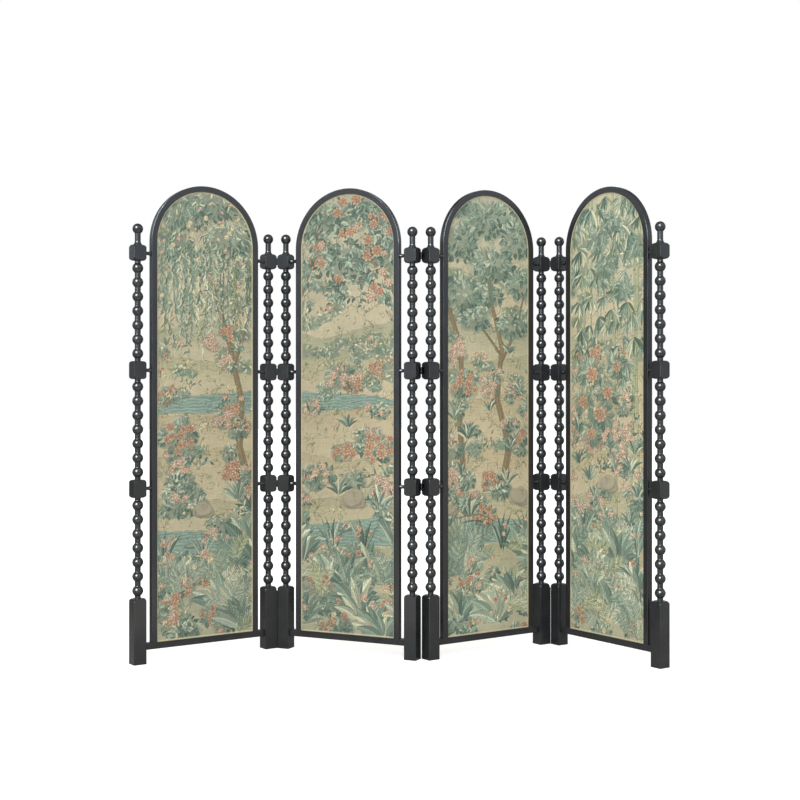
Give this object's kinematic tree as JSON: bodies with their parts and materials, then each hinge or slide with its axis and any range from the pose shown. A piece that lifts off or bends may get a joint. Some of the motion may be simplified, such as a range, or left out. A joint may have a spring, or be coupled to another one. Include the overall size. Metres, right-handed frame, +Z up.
{
  "type": "folding screen",
  "caption": "Tall hinged folding screen: arched cloth panels in dark wood frames, held by turned spools between bobbin-turned posts on square feet.",
  "frame": {"origin": "middle of the bounding box in plan, on the floor under the feet", "axes": "+X to the right along the standing screen, +Y away from the viewer of the printed side, +Z up"},
  "size_m": [1.9856, 0.5632, 1.8],
  "materials": {
    "ebonised_wood": "satin",
    "plywood": "sanded",
    "printed_cloth": "plain weave, printed",
    "lining_cloth": "plain weave",
    "blackened_steel": "satin black"
  },
  "bodies": {
    "leaf_1": {"left_post_1": "ebonised_wood", "right_post_1": "ebonised_wood", "left_stile_1": "ebonised_wood", "right_stile_1": "ebonised_wood", "arched_head_1": "ebonised_wood", "bottom_rail_1": "ebonised_wood", "spools_1": "ebonised_wood", "board_1": "plywood", "front_cloth_1": "printed_cloth", "back_cloth_1": "lining_cloth", "back_bead_1": "ebonised_wood", "hinge_screws_1": "blackened_steel", "hinge_left_plates_1": "blackened_steel", "hinge_pins_1": "blackened_steel"},
    "leaf_2": {"left_post_2": "ebonised_wood", "right_post_2": "ebonised_wood", "left_stile_2": "ebonised_wood", "right_stile_2": "ebonised_wood", "arched_head_2": "ebonised_wood", "bottom_rail_2": "ebonised_wood", "spools_2": "ebonised_wood", "board_2": "plywood", "front_cloth_2": "printed_cloth", "back_cloth_2": "lining_cloth", "back_bead_2": "ebonised_wood", "hinge_screws_2": "blackened_steel", "hinge_right_plates_1": "blackened_steel", "hinge_left_plates_2": "blackened_steel", "hinge_pins_2": "blackened_steel"},
    "leaf_3": {"left_post_3": "ebonised_wood", "right_post_3": "ebonised_wood", "left_stile_3": "ebonised_wood", "right_stile_3": "ebonised_wood", "arched_head_3": "ebonised_wood", "bottom_rail_3": "ebonised_wood", "spools_3": "ebonised_wood", "board_3": "plywood", "front_cloth_3": "printed_cloth", "back_cloth_3": "lining_cloth", "back_bead_3": "ebonised_wood", "hinge_screws_3": "blackened_steel", "hinge_right_plates_2": "blackened_steel", "hinge_left_plates_3": "blackened_steel", "hinge_pins_3": "blackened_steel"},
    "leaf_4": {"left_post_4": "ebonised_wood", "right_post_4": "ebonised_wood", "left_stile_4": "ebonised_wood", "right_stile_4": "ebonised_wood", "arched_head_4": "ebonised_wood", "bottom_rail_4": "ebonised_wood", "spools_4": "ebonised_wood", "board_4": "plywood", "front_cloth_4": "printed_cloth", "back_cloth_4": "lining_cloth", "back_bead_4": "ebonised_wood", "hinge_screws_4": "blackened_steel", "hinge_right_plates_3": "blackened_steel"}
  },
  "joints": [
    {"name": "fold_1_2", "type": "hinge", "parent": "leaf_2", "child": "leaf_1", "pos_m": [-0.44669, 0.23902, 1.0925], "axis": [0, 0, 1], "range_deg": [-60, 120]},
    {"name": "fold_2_3", "type": "hinge", "parent": "leaf_2", "child": "leaf_3", "pos_m": [0.10102, -0.01831, 1.0925], "axis": [0, 0, 1], "range_deg": [-60, 120]},
    {"name": "fold_3_4", "type": "hinge", "parent": "leaf_3", "child": "leaf_4", "pos_m": [0.64874, 0.23902, 1.0925], "axis": [0, 0, -1], "range_deg": [-90, 90]}
  ]
}
